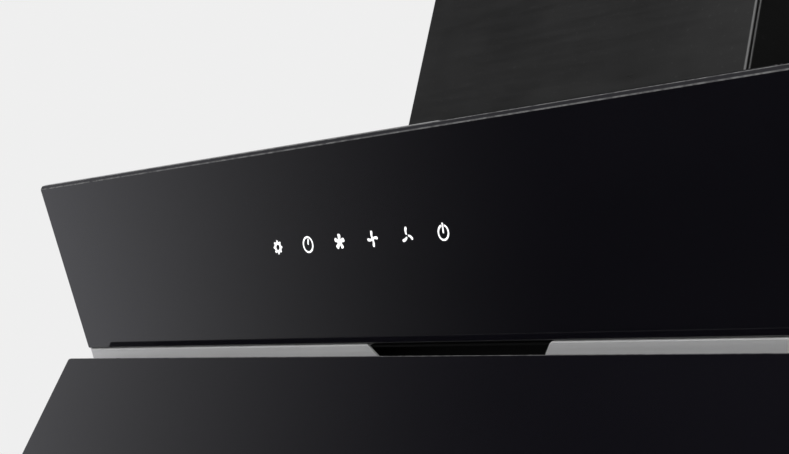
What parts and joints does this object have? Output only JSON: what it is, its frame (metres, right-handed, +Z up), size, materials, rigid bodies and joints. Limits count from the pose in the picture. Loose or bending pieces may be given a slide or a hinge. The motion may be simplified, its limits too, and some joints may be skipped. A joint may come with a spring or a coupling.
{
  "type": "chimney range hood",
  "caption": "Wall chimney hood with an inclined black glass front, a touch key row, a swing-open lower glass panel, grease filters, a centrifugal blower and a telescoping chimney.",
  "frame": {"origin": "midway between the two wall fixing holes, on the wall face of the back plate", "axes": "+X to the right seen from the front, +Y into the wall, +Z up"},
  "size_m": [0.9, 0.3797, 0.8388],
  "materials": {
    "black_glass": "glossy, opaque black",
    "strip_steel": "brushed",
    "black_paint": "satin powder coat",
    "chimney_paint": "satin powder coat, fine grain",
    "zinc_steel": "zinc plated",
    "blower_plastic": "moulded",
    "black_plastic": "moulded, fine grain",
    "board_green": "coated circuit board",
    "spring_steel": "bright",
    "filter_alloy": "satin",
    "lamp_alloy": "satin",
    "lamp_lens": "frosted",
    "motor_shell": "matt",
    "cup_plastic": "moulded",
    "box_plastic": "moulded"
  },
  "bodies": {
    "hood": {"upper_glass": "black_glass", "fascia_plate": "zinc_steel", "front_strip": "strip_steel", "finger_liner": "black_plastic", "left_cheek": "black_paint", "right_cheek": "black_paint", "back_plate": "zinc_steel", "top_cover": "black_paint", "bottom_plate": "black_paint", "filter_wall": "black_paint", "hinge_bracket_left": "zinc_steel", "hinge_bracket_right": "zinc_steel", "hinge_pin_left": "spring_steel", "hinge_pin_right": "spring_steel", "friction_washers": "spring_steel", "control_carrier": "black_plastic", "control_board": "board_green", "touch_springs": "spring_steel", "filter_frame_left": "filter_alloy", "filter_frame_right": "filter_alloy", "filter_mesh_left": "filter_alloy", "filter_mesh_right": "filter_alloy", "scroll_wrap": "zinc_steel", "scroll_cheek_left": "zinc_steel", "scroll_cheek_right": "zinc_steel", "motor_can": "motor_shell", "motor_bracket": "zinc_steel", "outlet_adapter": "blower_plastic", "flap_pins": "spring_steel", "chimney_front": "chimney_paint", "chimney_side_left": "chimney_paint", "chimney_side_right": "chimney_paint", "lamp_body_left": "lamp_alloy", "lamp_body_right": "lamp_alloy", "lamp_lens_left": "lamp_lens", "lamp_lens_right": "lamp_lens", "cup_rails": "zinc_steel", "terminal_box": "box_plastic", "terminal_lid": "box_plastic", "run_capacitor": "lamp_alloy", "cable_gland": "black_plastic", "magnet_catches": "black_plastic", "blower_carriers": "zinc_steel"},
    "lower_panel": {"lower_glass": "black_glass", "panel_pan": "black_paint", "hinge_arm_left": "zinc_steel", "hinge_arm_right": "zinc_steel"},
    "blower_wheel": {"impeller": "blower_plastic", "motor_shaft": "spring_steel"},
    "front_flap": {"flap_front": "blower_plastic"},
    "back_flap": {"flap_back": "blower_plastic"},
    "upper_chimney": {"chimney_sleeve": "chimney_paint", "sleeve_bracket": "zinc_steel"},
    "left_latch": {"latch_left": "black_plastic"},
    "right_latch": {"latch_right": "black_plastic"},
    "grease_cup": {"oil_cup": "cup_plastic"}
  },
  "joints": [
    {"name": "panel_hinge", "type": "hinge", "parent": "hood", "child": "lower_panel", "pos_m": [0, -0.28115, -0.0503], "axis": [1, 0, 0], "range_deg": [0, 48]},
    {"name": "wheel_spin", "type": "hinge", "parent": "hood", "child": "blower_wheel", "pos_m": [0, -0.098, -0.01], "axis": [1, 0, 0], "continuous": true},
    {"name": "front_flap_hinge", "type": "hinge", "parent": "hood", "child": "front_flap", "pos_m": [0, -0.1315, 0.1405], "axis": [1, 0, 0], "range_deg": [-80, 0]},
    {"name": "back_flap_hinge", "type": "hinge", "parent": "hood", "child": "back_flap", "pos_m": [0, -0.1235, 0.1405], "axis": [1, 0, 0], "range_deg": [0, 80]},
    {"name": "chimney_slide", "type": "slide", "parent": "hood", "child": "upper_chimney", "axis": [0, 0, 1], "range_m": [0, 0.3]},
    {"name": "left_latch_slide", "type": "slide", "parent": "hood", "child": "left_latch", "axis": [0, 0.5736, -0.8192], "range_m": [0, 0.004], "stiffness_N_per_m": 250, "springref_m": -0.004},
    {"name": "right_latch_slide", "type": "slide", "parent": "hood", "child": "right_latch", "axis": [0, 0.5736, -0.8192], "range_m": [0, 0.004], "stiffness_N_per_m": 250, "springref_m": -0.004},
    {"name": "cup_slide", "type": "slide", "parent": "hood", "child": "grease_cup", "axis": [0, -1, 0], "range_m": [0, 0.085]}
  ]
}
